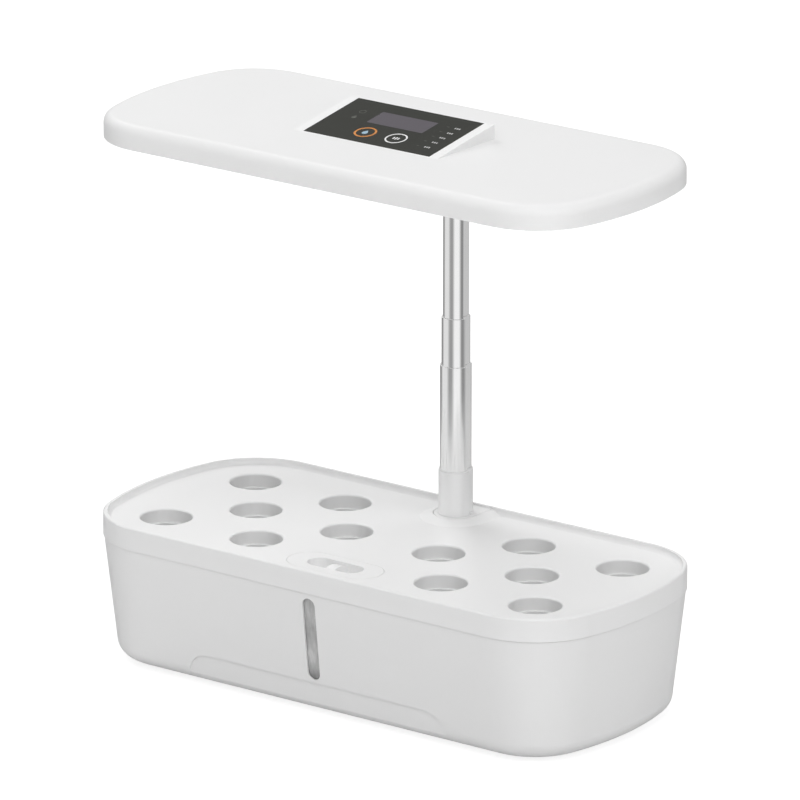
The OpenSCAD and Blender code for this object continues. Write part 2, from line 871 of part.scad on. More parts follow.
module led_board() {
  color("#f4f4f4")
    difference() {
      translate([0, -board_y, board_z]) linear_extrude(board_t) round_rect(board_l, board_w, 8);
      board_screw_places() translate([0, 0, board_z - 1]) cylinder(h = 5, r = screw_hole, $fn = 24);
    }
}

module board_screws() {
  color("#b8b8b8")
    board_screw_places() translate([0, 0, board_z - 1]) screw_up(board_screw_l, 1.2, 2.4, 1);
}

// one LED package under the board
module led() {
  translate([-led_w / 2, -led_w * 0.4, board_z - 0.8]) cube([led_w, led_w * 0.8, 0.8]);
}

// the kinds of LED repeat along the rows: 0 is white, 1 red and 2 blue
function led_kind(i, j) = (i + 2 * j) % 5 == 0 ? 1 : (i + 2 * j) % 15 == 7 ? 2 : 0;

module leds(kind) {
  for (i = [0 : 13], j = [0 : 4])
    if (led_kind(i, j) == kind)
      translate([(i - 6.5) * led_dx, -board_y + (j - 2) * led_dy, 0]) led();
}

module white_leds() {
  color("#f6e9a8") leds(0);
}

module red_leds() {
  color("#d83a3a") leds(1);
}

module blue_leds() {
  color("#3a60d8") leds(2);
}

module mast_head() {
  color("#dadada")
    difference() {
      union() {
        mast_bar(head_t, tray_z + tray_t, upper_end + 1.6);
        translate([-ear_l / 2, mast_y - 6, upper_end - 1.6]) cube([ear_l, 8, 2]);
      }
      mast_bar(0.03, tray_z - 1, upper_end);
      head_screw_places() translate([0, 0, upper_end - 3]) cylinder(h = 5, r = screw_hole, $fn = 24);
    }
}

module head_screws() {
  color("#b8b8b8")
    head_screw_places() translate([0, 0, upper_end - 2.6]) screw_up(3.4, 1.2, 2.4, 1);
}

module head_trim() {
  color("#e6e6e6")
    difference() {
      mast_bar(trim_w, tray_z - 0.8, tray_z);
      mast_bar(0.06, tray_z - 2, tray_z + 2);
    }
}

// ---------- control wedge ----------

module touch_panel() {
  color("#33342f")
    panel_place()
      translate([0, 0, -panel_t])
        linear_extrude(panel_t) square([panel_w, panel_l], center = true);
}

module display_module() {
  color("#5b5760")
    panel_place()
      translate([-display_w / 2, -0.7, -panel_t - board_drop])
        cube([display_w, display_h, board_drop]);
}

module touch_springs() {
  color("#c8b060")
    panel_place()
      for (s = [-1, 1])
        translate([0.5 + s * touch_dx / 2, -13.3, -panel_t - board_drop])
          difference() {
            cylinder(h = board_drop, r = 4, $fn = 32);
            translate([0, 0, -1]) cylinder(h = board_drop + 2, r = 3.2, $fn = 32);
          }
}

module control_board() {
  color("#2f6b45")
    panel_place()
      translate([-control_l / 2, control_y - control_w / 2, -panel_t - board_drop - control_t])
        cube([control_l, control_w, control_t]);
}

module board_posts() {
  color("#c8c8c8")
    panel_place()
      for (sx = [-1, 1], sy = [-1, 1])
        translate([sx * (control_l / 2 - post_r), control_y + sy * post_y, -panel_t - board_drop])
          cylinder(h = board_drop, r = post_r, $fn = 24);
}

// ---------- power inlet ----------

module jack_place() {
  translate([0, base_w / 2, seam_z + 5.2]) rotate([90, 0, 0]) children();
}

module jack_shape(grow) {
  translate([-jack_w / 2 - grow, -jack_w / 2 - grow, -1])
    cube([jack_w + 2 * grow, jack_w + 2 * grow, jack_l + 1]);
}

module power_jack() {
  color("#2a2a2a")
    jack_place()
      union() {
        difference() {
          translate([-jack_w / 2, -jack_w / 2, 0]) cube([jack_w, jack_w, jack_l]);
          translate([0, 0, -1]) cylinder(h = jack_l, r = 2.8, $fn = 48);
        }
        translate([0, 0, 1]) cylinder(h = jack_l - 1.6, r = 1, $fn = 32);
      }
}

// ---------- pump ----------

// the pump's axis: x across, y up, z back from the cover's joint
module on_pump() {
  translate([pump_x, pump_y, pump_mid]) rotate([-90, 0, 0]) children();
}

module pump_body() {
  color("#232426")
    difference() {
      on_pump() linear_extrude(pump_l) round_rect(pump_w, pump_h, 5);
      on_pump() translate([0, 0, -1]) cylinder(h = vane_l + 3, r = vane_r + 1);
      on_pump() translate([0, 0, -1]) cylinder(h = chamber_l + 1, r = rotor_r + 0.6);
      translate([outlet_x, outlet_y, pump_mid]) cylinder(h = pump_h, r = 3);
      on_pump() cylinder(h = shaft_l, r = shaft_r, $fn = 32);
    }
}

module pump_cover() {
  color("#2c2d30")
    difference() {
      on_pump() translate([0, 0, -cover_l]) linear_extrude(cover_l) round_rect(pump_w, pump_h, 5);
      difference() {
        on_pump() translate([0, 0, 2 - cover_l]) linear_extrude(7) round_rect(pump_w - 4, pump_h - 4, 3.5);
        on_pump() translate([0, 0, -cover_l]) cylinder(h = cover_l, r = 2.4, $fn = 48);
      }
      on_pump() translate([0, 0, -shaft_end]) cylinder(h = 10, r = shaft_r, $fn = 32);
      for (i = [1 : 4], s = [-1, 1])
        on_pump() translate([s * i * 3.4 - 0.8, -10, -9]) cube([1.6, 20, 4]);
    }
}

module pump_impeller() {
  color("#c9c9c9")
    difference() {
      union() {
        on_pump() translate([0, 0, vane_l + 1]) cylinder(h = chamber_l - vane_l - 2.5, r = rotor_r);
        for (i = [0 : 5])
          on_pump() rotate([0, 0, i * 60]) translate([0, -0.7, 1]) cube([vane_r, 1.4, vane_l + 0.2]);
        on_pump() translate([0, 0, 1]) cylinder(h = vane_l + e, r = 3.5);
      }
      on_pump() translate([0, 0, -1]) cylinder(h = 40, r = shaft_r + 0.05, $fn = 32);
    }
}

module pump_shaft() {
  color("#e0e0dc")
    on_pump() translate([0, 0, -shaft_end]) cylinder(h = shaft_l + shaft_end, r = shaft_r, $fn = 32);
}

module pump_outlet() {
  color("#3a3b3d")
    translate([outlet_x, outlet_y, 0])
      difference() {
        union() {
          translate([0, 0, pump_z + pump_h - 3]) cylinder(h = 12, r = 2.97);
          translate([0, 0, pump_z + pump_h]) cylinder(h = 2, r = 4.6);
        }
        translate([0, 0, pump_z + pump_h - 4]) cylinder(h = 20, r = 1.9);
      }
}

module pump_cups() {
  color("#55585a")
    for (sx = [-1, 1], y = [cup_in - 1, pump_l - cup_in + 1])
      translate([pump_x + sx * (pump_w / 2 - cup_in), pump_y + y, floor_z]) {
        cylinder(h = 1.6, r1 = 5, r2 = 2.2);
        translate([0, 0, 1.6 - e]) cylinder(h = pump_z - floor_z - 1.6 + e, r = 2.2);
      }
}

// ---------- pump lead ----------

// the socket's own frame: x into the mast column
module pump_socket_place() {
  translate([socket_x, socket_y, socket_z]) children();
}

module pump_socket() {
  color("#2a2a2a")
    pump_socket_place() translate([0, -3.4, -3.5]) cube([8, 6.8, 7]);
}

module pump_plug() {
  color("#2a2a2a")
    pump_socket_place() rotate([0, -90, 0]) cylinder(h = plug_l, r = 3);
}

// a round tube of radius r along a list of points
module swept_tube(points, r, sides = 8) {
  last = len(points) - 1;
  rings = [for (i = [0 : last]) ring_at(points, i, r, sides)];
  polyhedron(
    points = [for (ring = rings) for (p = ring) p],
    faces = concat(
      [[for (k = [0 : sides - 1]) sides - 1 - k]],
      [[for (k = [0 : sides - 1]) last * sides + k]],
      [for (i = [0 : last - 1], k = [0 : sides - 1])
        [i * sides + k, i * sides + (k + 1) % sides, (i + 1) * sides + (k + 1) % sides, (i + 1) * sides + k]]
    )
  );
}

function unit(v) = v / norm(v);
function heading(points, i) =
  unit(points[min(i + 1, len(points) - 1)] - points[max(i - 1, 0)]);

// a direction across the route that turns with it as little as it can
function across(points, i) =
  i == 0 ? unit(cross(heading(points, 0), [0, 1, 0]))
         : let (t = heading(points, i), n = across(points, i - 1)) unit(n - (n * t) * t);

function ring_at(points, i, r, sides) =
  let (n = across(points, i), b = cross(heading(points, i), n))
  [for (k = [0 : sides - 1]) points[i] + r * (n * cos(360 * k / sides) + b * sin(360 * k / sides))];

module pump_lead() {
  color("#2a2a2a") swept_tube(lead_route, lead_r);
}

water_tank();
level_window();
window_gasket();
feet();
planting_deck();
fill_lid();
mast_base_tube();
mast_anchor();
mast_screws();
mast_foot_ring();
mouth_ring();
lower_tube();
lower_shoe();
middle_tube();
middle_shoe();
upper_tube();
upper_shoe();
mast_lead();
mast_head();
head_screws();
head_trim();
lamp_cover();
lamp_tray();
tray_screws();
led_board();
board_screws();
white_leds();
red_leds();
blue_leds();
touch_panel();
display_module();
touch_springs();
control_board();
board_posts();
power_jack();
pump_body();
pump_cover();
pump_impeller();
pump_shaft();
pump_outlet();
pump_cups();
pump_lead();
pump_plug();
pump_socket();
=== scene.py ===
# Looks of a countertop hydroponic garden: a white water tank with a planting deck, a flat
# grow lamp on a telescopic chrome mast, and a dark touch panel on the lamp.
# Metres, X along the tank, -Y the front, +Z up. A length in millimetres is written times MM,
# except on the touch panel, whose places are all in millimetres.

import json
import math

import bpy
import bmesh
from mathutils import Matrix, Vector


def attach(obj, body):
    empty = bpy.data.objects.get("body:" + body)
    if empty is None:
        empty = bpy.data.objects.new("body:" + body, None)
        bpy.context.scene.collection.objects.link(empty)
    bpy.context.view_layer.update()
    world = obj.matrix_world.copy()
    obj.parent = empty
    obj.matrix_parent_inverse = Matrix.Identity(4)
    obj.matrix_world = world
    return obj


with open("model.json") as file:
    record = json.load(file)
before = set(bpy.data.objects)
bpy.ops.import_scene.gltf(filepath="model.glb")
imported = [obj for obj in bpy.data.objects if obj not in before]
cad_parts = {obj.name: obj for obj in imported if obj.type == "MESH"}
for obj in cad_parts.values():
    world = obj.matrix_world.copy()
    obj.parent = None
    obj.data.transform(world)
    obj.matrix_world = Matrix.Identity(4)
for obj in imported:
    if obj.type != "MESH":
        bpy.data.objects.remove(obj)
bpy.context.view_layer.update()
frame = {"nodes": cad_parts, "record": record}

MM = 0.001
WHITE = (1, 1, 1, 1)


def grey(level):
    """Linear grey."""
    return (level, level, level, 1)


def srgb(level, green=None, blue=None):
    """Linear colour of a shade given on the usual 0 to 255 scale."""
    channels = (level, level if green is None else green, level if blue is None else blue)
    linear = []
    for value in channels:
        value /= 255
        linear.append(value / 12.92 if value <= 0.04045 else ((value + 0.055) / 1.055) ** 2.4)
    return (*linear, 1.0)


# ---------- nodes ----------

def feed(socket, value):
    """Links an input to an output socket, or sets it to a plain value."""
    if isinstance(value, bpy.types.NodeSocket):
        socket.id_data.links.new(value, socket)
    else:
        socket.default_value = value


def place(tree, kind, inputs=None, **settings):
    """Adds a node, sets its properties and feeds its inputs by name or number."""
    node = tree.nodes.new(kind)
    for name, value in settings.items():
        setattr(node, name, value)
    for label, value in (inputs or {}).items():
        feed(node.inputs[label], value)
    return node


def calc(tree, operation, *terms, clamp=False):
    """Result of a Math node, whose terms are numbers or sockets."""
    node = place(tree, "ShaderNodeMath", dict(enumerate(terms)), operation=operation,
                 use_clamp=clamp)
    return node.outputs[0]


def noise(tree, where, scale, detail, roughness=0.5):
    inputs = {"Vector": where, "Scale": scale, "Detail": detail, "Roughness": roughness}
    return place(tree, "ShaderNodeTexNoise", inputs, noise_dimensions="3D").outputs["Fac"]


def fade(tree, value, start, end, low=0.0, high=1.0, kind="LINEAR"):
    """Goes from low to high while the value goes from start to end."""
    inputs = {"Value": value, "From Min": start, "From Max": end, "To Min": low, "To Max": high}
    return place(tree, "ShaderNodeMapRange", inputs, interpolation_type=kind).outputs["Result"]


def mix(tree, weight, first, second):
    """Colour between two others. The Mix node has its colours on these numbered sockets."""
    inputs = {0: weight, 6: first, 7: second}
    return place(tree, "ShaderNodeMix", inputs, data_type="RGBA").outputs[2]


def scaled(tree, vector, factor):
    """Vector or colour times one number."""
    inputs = {0: vector, "Scale": factor}
    return place(tree, "ShaderNodeVectorMath", inputs, operation="SCALE").outputs[0]


def drawn_out(tree, where, along_z):
    """Place with its Z scaled down, so that a texture comes out stretched upwards."""
    inputs = {"Vector": where, "Scale": (1.0, 1.0, along_z)}
    return place(tree, "ShaderNodeMapping", inputs).outputs[0]


def shade_ramp(tree, value, stops):
    """Colour ramp through two or more stops, each a position and a shade."""
    node = place(tree, "ShaderNodeValToRGB", {"Fac": value})
    elements = node.color_ramp.elements
    first, *between, last = stops
    for element, (position, shade) in zip(elements, (first, last)):
        element.position = position
        element.color = srgb(shade)
    for position, shade in between:
        elements.new(position).color = srgb(shade)
    return node.outputs["Color"]


def object_place(tree):
    return place(tree, "ShaderNodeTexCoord").outputs["Object"]


def z_of(tree, vector):
    return place(tree, "ShaderNodeSeparateXYZ", {0: vector}).outputs["Z"]


# ---------- effects that several materials share ----------

FLOAT = "NodeSocketFloat"
COLOUR = "NodeSocketColor"


def new_group(name, inputs, outputs):
    """A shader node group: inputs are (kind, label, default), outputs (kind, label)."""
    tree = bpy.data.node_groups.new(name, "ShaderNodeTree")
    for kind, label, default in inputs:
        socket = tree.interface.new_socket(label, in_out="INPUT", socket_type=kind)
        socket.default_value = default
    for kind, label in outputs:
        tree.interface.new_socket(label, in_out="OUTPUT", socket_type=kind)
    return tree, place(tree, "NodeGroupInput").outputs, place(tree, "NodeGroupOutput").inputs


def use_group(tree, group, **values):
    """Places a group with its own values, and gives its outputs. In the names of the
    values underscores stand for spaces."""
    inputs = {name.replace("_", " "): value for name, value in values.items()}
    return place(tree, "ShaderNodeGroup", inputs, node_tree=group).outputs


def moulded_grain():
    """Fine spark-eroded texture of a moulded surface: a height and a roughness."""
    tree, given, result = new_group(
        "moulded grain",
        [(FLOAT, "Grain", 900.0), (FLOAT, "Base Roughness", 0.4),
         (FLOAT, "Roughness Spread", 0.1)],
        [(FLOAT, "Height"), (FLOAT, "Roughness")])
    where = object_place(tree)
    fine = noise(tree, where, given["Grain"], detail=3.0, roughness=0.6)
    patches = noise(tree, where, scale=26.0, detail=4.0)
    off_mean = calc(tree, "SUBTRACT", patches, 0.5)
    rough = calc(tree, "MULTIPLY_ADD", off_mean, given["Roughness Spread"],
                 given["Base Roughness"])
    feed(result["Height"], fine)
    feed(result["Roughness"], rough)
    return tree


def tone_drift():
    """Slow drift of a colour's lightness over a surface, with a faint finer mottle."""
    tree, given, result = new_group(
        "tone drift",
        [(COLOUR, "Color", grey(0.8)), (FLOAT, "Amount", 0.03), (FLOAT, "Patch Scale", 9.0)],
        [(COLOUR, "Color")])
    slow = noise(tree, object_place(tree), given["Patch Scale"], detail=5.0, roughness=0.55)
    off_mean = calc(tree, "SUBTRACT", slow, 0.5)
    gain = calc(tree, "MULTIPLY_ADD", off_mean, given["Amount"], 1.0)
    feed(result["Color"], scaled(tree, given["Color"], gain))
    return tree


def edge_mask():
    """1 along the edges, where a painted highlight goes, 0 on open faces: it compares the true
    normal with one that is rounded over the width."""
    tree, given, result = new_group(
        "edge mask", [(FLOAT, "Width", 0.6 * MM)], [(FLOAT, "Mask")])
    rounded = place(tree, "ShaderNodeBevel", {"Radius": given["Width"]}, samples=4)
    true = place(tree, "ShaderNodeNewGeometry")
    match = place(tree, "ShaderNodeVectorMath",
                  {0: rounded.outputs[0], 1: true.outputs["Normal"]}, operation="DOT_PRODUCT")
    feed(result["Mask"], fade(tree, match.outputs["Value"], start=0.995, end=0.80))
    return tree


def drawn_lines():
    """Fine lines that run up a drawn tube: a height and a roughness."""
    tree, given, result = new_group(
        "drawn lines",
        [(FLOAT, "Line Scale", 1500.0), (FLOAT, "Base Roughness", 0.1)],
        [(FLOAT, "Height"), (FLOAT, "Roughness")])
    where = drawn_out(tree, object_place(tree), along_z=0.012)
    lines = noise(tree, where, given["Line Scale"], detail=2.0)
    spread = 0.06
    rough = calc(tree, "MULTIPLY_ADD", lines, spread, given["Base Roughness"])
    feed(result["Height"], lines)
    feed(result["Roughness"], rough)
    return tree


GRAIN = moulded_grain()
DRIFT = tone_drift()
EDGES = edge_mask()
LINES = drawn_lines()


# ---------- materials ----------

def bare_material(name):
    material = bpy.data.materials.new(name)
    material.use_nodes = True
    tree = material.node_tree
    return material, tree, tree.nodes["Principled BSDF"].inputs


def raise_surface(tree, shader, height, strength, depth):
    """Bump from a height of 0 to 1 that stands for the depth."""
    inputs = {"Strength": strength, "Distance": depth, "Height": height}
    feed(shader["Normal"], place(tree, "ShaderNodeBump", inputs).outputs[0])


def grained(name, colour, roughness, spread, grain, strength, depth, drift, patches, edge_highlight=0.0):
    """Material whose tone drifts slowly, whose grain shows in roughness and bump, and whose
    edges carry a painted highlight, a share lighter. Gives the material and its shader's inputs."""
    material, tree, shader = bare_material(name)
    texture = use_group(tree, GRAIN, Grain=grain, Base_Roughness=roughness,
                        Roughness_Spread=spread)
    tone = use_group(tree, DRIFT, Color=colour, Amount=drift, Patch_Scale=patches)["Color"]
    # Painted highlight: the edges turn a share lighter.
    if edge_highlight:
        highlighted_edges = calc(tree, "MULTIPLY", use_group(tree, EDGES)["Mask"], edge_highlight)
        tone = mix(tree, highlighted_edges, tone, WHITE)
    feed(shader["Base Color"], tone)
    feed(shader["Roughness"], texture["Roughness"])
    raise_surface(tree, shader, texture["Height"], strength, depth)
    return material, shader


def plastic(name, colour, roughness, grain=900.0, depth=0.02 * MM, drift=0.03, edge_highlight=0.06):
    """Moulded plastic with a painted highlight along its edges."""
    material, shader = grained(
        name, colour, roughness, spread=roughness * 0.3, grain=grain, strength=0.35,
        depth=depth, drift=drift, patches=9.0, edge_highlight=edge_highlight)
    shader["Specular IOR Level"].default_value = 0.4
    return material


# The mast's foot is satin, and there it is also painted paler and less metallic: a painted
# reflection of the white deck.
SATIN_FULL = 135 * MM       # up to this height the mast's foot is satin all over,
SATIN_END = 186 * MM        # and from this height on it is polished
SATIN_ROUGHNESS = 0.14      # what the satin adds to the roughness
PALE_SHEEN_METAL = 0.82          # what the painted pale sheen leaves of the metal
# Faces that look upwards, such as the cut ends, are painted matt white: a painted reflection of the
# white backdrop.
GLINT_STARTS = 0.25           # upward part of the normal where a cut end begins to count,
GLINT_FULL = 0.7              # and where it counts in full


def chrome_tube(name, roughness):
    """Polished tube, satin at the mast's foot where it comes out of the deck, and there also
    painted paler and less metallic, a painted reflection of the white deck. Faces that look
    upwards, such as the cut ends, are painted matt white, a painted reflection of the white
    backdrop."""
    material, tree, shader = bare_material(name)
    lines = use_group(tree, LINES, Line_Scale=1500.0, Base_Roughness=roughness)
    tone = use_group(tree, DRIFT, Color=srgb(240), Amount=0.05, Patch_Scale=60.0)
    foot = fade(tree, z_of(tree, object_place(tree)), SATIN_END, SATIN_FULL, kind="SMOOTHSTEP")
    facing = place(tree, "ShaderNodeNewGeometry").outputs["Normal"]
    # Painted reflection: faces that look upwards turn matt white and lose their metal.
    painted_glint = fade(tree, z_of(tree, facing), GLINT_STARTS, GLINT_FULL)
    metal = fade(tree, foot, 0.0, 1.0, low=1.0, high=PALE_SHEEN_METAL)
    # Painted paleness of the foot and of the upward faces.
    painted_pale = calc(tree, "MAXIMUM", foot, painted_glint)
    feed(shader["Base Color"], mix(tree, painted_pale, tone["Color"], srgb(246)))
    feed(shader["Metallic"], calc(tree, "SUBTRACT", metal, painted_glint, clamp=True))
    feed(shader["Roughness"],
         calc(tree, "MULTIPLY_ADD", foot, SATIN_ROUGHNESS, lines["Roughness"]))
    raise_surface(tree, shader, lines["Height"], strength=0.25, depth=0.004 * MM)
    return material


def turned_steel():
    material, shader = grained(
        "steel", srgb(200), roughness=0.28, spread=0.15, grain=2500.0, strength=0.3,
        depth=0.006 * MM, drift=0.15, patches=300.0)
    shader["Metallic"].default_value = 1.0
    return material


def soft_rubber(name, colour):
    material, shader = grained(
        name, colour, roughness=0.75, spread=0.2, grain=1600.0, strength=0.5,
        depth=0.03 * MM, drift=0.25, patches=70.0)
    shader["Specular IOR Level"].default_value = 0.3
    return material


def panel_film():
    """Dark printed film behind a satin hard coat, with faint finger smudges."""
    material, shader = grained(
        "panel_black", srgb(49, 50, 46), roughness=0.34, spread=0.22, grain=1800.0,
        strength=0.2, depth=0.008 * MM, drift=0.22, patches=34.0)
    shader["Specular IOR Level"].default_value = 0.25
    return material


def small_part(name, colour, roughness, metallic=0.0, drift=0.12):
    """Finish of boards, LEDs, springs and other small pieces."""
    material, shader = grained(
        name, colour, roughness, spread=0.15, grain=2200.0, strength=0.3, depth=0.01 * MM,
        drift=drift, patches=160.0)
    shader["Metallic"].default_value = metallic
    return material


WINDOW_FOOT = 23.0 * MM     # lower end of the window's slot
DARK_FOOT = 7.0 * MM             # height over which the window grows dark towards its foot
DARK_FOOT_SHARE = 0.55           # share of its lightness left at the foot


def window_plastic():
    """Window with the tank's dim inside as painted shade, its water as upright smears, darker at
    the foot.
    """
    material, tree, shader = bare_material("clear_window")
    where = object_place(tree)
    smears = noise(tree, drawn_out(tree, where, along_z=0.22), scale=420.0, detail=5.0,
                   roughness=0.6)
    blots = noise(tree, where, scale=55.0, detail=3.0)
    # The window's greys are painted shade: the dim inside of the tank behind it.
    shades = shade_ramp(tree, calc(tree, "MULTIPLY", smears, blots), [(0.10, 152), (0.42, 206)])
    depth = fade(tree, z_of(tree, where), WINDOW_FOOT, WINDOW_FOOT + DARK_FOOT, low=DARK_FOOT_SHARE,
                 kind="SMOOTHSTEP")
    texture = use_group(tree, GRAIN, Grain=1200.0, Base_Roughness=0.22, Roughness_Spread=0.2)
    feed(shader["Base Color"], scaled(tree, shades, depth))
    feed(shader["Roughness"], texture["Roughness"])
    raise_surface(tree, shader, smears, strength=0.3, depth=0.06 * MM)
    return material


# One finish for each material slot of the record.
MATERIALS = {
    "white_plastic": plastic("white_plastic", srgb(229), roughness=0.42),
    "white_gloss": plastic("white_gloss", srgb(231), roughness=0.36, grain=1100.0, depth=0.01 * MM),
    "clear_window": window_plastic(),
    "grey_rubber": soft_rubber("grey_rubber", srgb(88)),
    "mast_chrome": chrome_tube("mast_chrome", roughness=0.07),
    "dark_plastic": plastic("dark_plastic", srgb(62), roughness=0.45, drift=0.15, edge_highlight=0.08),
    "black_plastic": plastic("black_plastic", srgb(38), roughness=0.4, drift=0.2, edge_highlight=0.08),
    "lead_rubber": soft_rubber("lead_rubber", srgb(40)),
    "magnet_white": plastic("magnet_white", srgb(200), roughness=0.4),
    "steel": turned_steel(),
    "board_white": small_part("board_white", srgb(236), roughness=0.3, drift=0.03),
    "led_white": small_part("led_white", srgb(246, 226, 140), roughness=0.25),
    "led_red": small_part("led_red", srgb(206, 52, 48), roughness=0.25),
    "led_blue": small_part("led_blue", srgb(52, 92, 210), roughness=0.25),
    "panel_black": panel_film(),
    "display_grey": small_part("display_grey", srgb(84, 80, 88), roughness=0.3, drift=0.08),
    "spring_brass": small_part("spring_brass", srgb(214, 196, 150), roughness=0.25, metallic=1.0),
    "board_green": small_part("board_green", srgb(40, 104, 66), roughness=0.35),
}

# Nodes whose finish differs from the rest of their slot: a pale gasket round the window,
# the light ring that closes the fixed tube's mouth, and the fixed tube's own satin.
OWN_FINISH = {
    "window_gasket": soft_rubber("pale_gasket", srgb(176)),
    "mouth_ring": plastic("light_ring", srgb(226), roughness=0.35),
    "mast_base_tube": chrome_tube("satin_chrome", roughness=0.32),
}


def dress_solids():
    for entry in frame["record"]["subparts"]:
        name = entry["node"]
        slots = frame["nodes"][name].data.materials
        slots.clear()
        slots.append(OWN_FINISH.get(name, MATERIALS[entry["material_slot"]]))


dress_solids()


# ---------- printing on the touch panel ----------

def panel_face():
    """The middle of the front edge of the touch panel's sloped face, and two directions:
    up along the face and out of it."""
    mesh = frame["nodes"]["touch_panel"].data
    face = max(mesh.polygons, key=lambda polygon: polygon.area * polygon.normal.z)
    front = min((mesh.vertices[i].co for i in face.vertices), key=lambda corner: corner.y)
    out = face.normal.copy()
    return Vector((0.0, front.y, front.z)), out.cross(Vector((1.0, 0.0, 0.0))), out


PANEL_FRONT, PANEL_UP, PANEL_OUT = panel_face()
INK_TOP = 0.04                    # how far the ink stands above the panel's face
INK_FOOT = -0.05

# Places on the panel are (across from its middle, up from its front edge), sizes are
# (length across, height), all in millimetres.
DISPLAY = (0.8, 34.8)
DISPLAY_SIZE = (41.0, 16.5)
LIGHT_KEY = (-10.8, 13.8)
LIGHT_SIGN = (-10.8, 13.2)
MODE_KEY = (11.8, 13.9)
MODE_BARS = ((-1.7, 2.5), (0.0, 3.4), (1.7, 2.5))   # across from the key's middle, height
MODE_BAR_WIDTH = 0.9
LEVELS = 5
TOP_LEVEL = 40.8
LEVEL_PITCH = 7.5
LIGHTS_ACROSS = 30.1
LIGHT_SIZE = (1.9, 0.6)
MARKS_ACROSS = 35.4
MARK_SIZE = (0.8, 1.7)
MARK_PITCH = 1.5
MARKS_A_LEVEL = 3
WATER_SIGN = (-31.2, 29.4)
LAMP_SIGN = (-31.2, 38.2)


def on_panel(across, up, out):
    """Point over a place on the panel, out of its face or, where out is below 0, in it."""
    point = PANEL_FRONT + (up * PANEL_UP + out * PANEL_OUT) * MM
    point.x += across * MM
    return point


def band(mesh, rim, other, turn=1):
    """Faces between two closed rows of as many points; turn -1 flips them."""
    for i in range(len(rim)):
        j = (i + 1) % len(rim)
        mesh.faces.new([rim[i], rim[j], other[j], other[i]][::turn])


def printed(name, outlines, material):
    """Ink on the panel: every outline is a list of (across, up) points, or a pair of such
    lists of one length, for a shape with a hole."""
    mesh = bmesh.new()
    for outline in outlines:
        rims = outline if isinstance(outline, tuple) else (outline,)
        rows = [[[mesh.verts.new(on_panel(x, y, out)) for x, y in rim]
                 for out in (INK_FOOT, INK_TOP)] for rim in rims]
        (foot, top), *hole = rows
        if not hole:
            mesh.faces.new(top)
            mesh.faces.new(foot[::-1])
        band(mesh, foot, top)
        for hole_foot, hole_top in hole:
            band(mesh, hole_foot, hole_top, turn=-1)
            band(mesh, top, hole_top)
            band(mesh, foot, hole_foot, turn=-1)
    data = bpy.data.meshes.new(name)
    mesh.to_mesh(data)
    mesh.free()
    piece = bpy.data.objects.new(name, data)
    bpy.context.scene.collection.objects.link(piece)
    data.materials.append(material)
    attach(piece, "lamp")


def disc(middle, radius, sides):
    x, y = middle
    return [(x + radius * math.cos(2 * math.pi * i / sides),
             y + radius * math.sin(2 * math.pi * i / sides)) for i in range(sides)]


def ring(middle, outer, width, sides=64):
    return disc(middle, outer, sides), disc(middle, outer - width, sides)


def plate(middle, length, height, corner, steps=4):
    """Rectangle with rounded corners, each of as many steps."""
    x, y = middle
    points = []
    for quarter, (sx, sy) in enumerate(((1, 1), (-1, 1), (-1, -1), (1, -1))):
        for i in range(steps + 1):
            turn = math.radians(90 * (quarter + i / steps))
            points.append((x + sx * (length / 2 - corner) + corner * math.cos(turn),
                           y + sy * (height / 2 - corner) + corner * math.sin(turn)))
    return points


def drop(middle, radius, sides=32):
    """Water drop: a circle that is narrowed and drawn up towards its tip."""
    x, y = middle
    narrowing = 0.35
    lift = 0.6
    points = []
    for i in range(sides):
        turn = math.radians(-90 + 360 * i / sides)
        tip = max(0.0, math.sin(turn)) ** 3
        points.append((x + radius * math.cos(turn) * (1 - narrowing * tip),
                       y + radius * math.sin(turn) * (1 + lift * tip)))
    return points


def mode_bars():
    x, y = MODE_KEY
    return [plate((x + across, y), MODE_BAR_WIDTH, height, corner=0.2)
            for across, height in MODE_BARS]


def print_panel():
    ink = {name: small_part("ink_" + name, colour, roughness, drift=0.05)
           for name, colour, roughness in (
               ("orange", srgb(198, 128, 62), 0.4), ("white", srgb(226), 0.4),
               ("painted_pale", srgb(196), 0.45), ("blue", srgb(150, 178, 196), 0.4),
               ("faint", srgb(86, 87, 82), 0.45), ("screen", srgb(86, 82, 88), 0.3))}
    levels = [TOP_LEVEL - LEVEL_PITCH * i for i in range(LEVELS)]
    lights = [plate((LIGHTS_ACROSS, up), *LIGHT_SIZE, corner=0.25) for up in levels]
    marks = [plate((MARKS_ACROSS + MARK_PITCH * i, up), *MARK_SIZE, corner=0.2)
             for up in levels for i in range(MARKS_A_LEVEL)]
    printed("display_window", [plate(DISPLAY, *DISPLAY_SIZE, corner=0.4)], ink["screen"])
    printed("light_key_ring", [ring(LIGHT_KEY, outer=7.0, width=1.3)], ink["orange"])
    printed("light_key_sign", [drop(LIGHT_SIGN, radius=1.9)], ink["blue"])
    printed("mode_key_ring", [ring(MODE_KEY, outer=6.9, width=1.0)], ink["white"])
    printed("mode_key_sign", mode_bars(), ink["white"])
    printed("level_lights", lights, ink["faint"])
    printed("level_marks", marks, ink["painted_pale"])
    printed("water_sign", [drop(WATER_SIGN, radius=1.6)], ink["faint"])
    printed("lamp_sign", [ring(LAMP_SIGN, outer=2.3, width=0.5, sides=32)], ink["faint"])


print_panel()


# ---------- camera ----------

VIEW_AZIMUTH = math.radians(37.281)     # how far the camera stands round to the right
VIEW_ELEVATION = math.radians(17.29)
VIEW_DISTANCE = 5.52143
VIEW_LENS = 416.45                      # millimetres, as is the sensor
SENSOR = 36.0
AIM = Vector((0.0, 0.0, 0.08845))
AIM_RIGHT = 0.0044126                   # how far the camera is moved sideways and up from AIM
AIM_UP = 0.0851115
FAR_CLIP = 50.0


def bearing_vector(azimuth, elevation):
    """Direction from the object: azimuth 0 is the front, and it grows to the right."""
    return Vector((math.sin(azimuth) * math.cos(elevation),
                   -math.cos(azimuth) * math.cos(elevation), math.sin(elevation)))


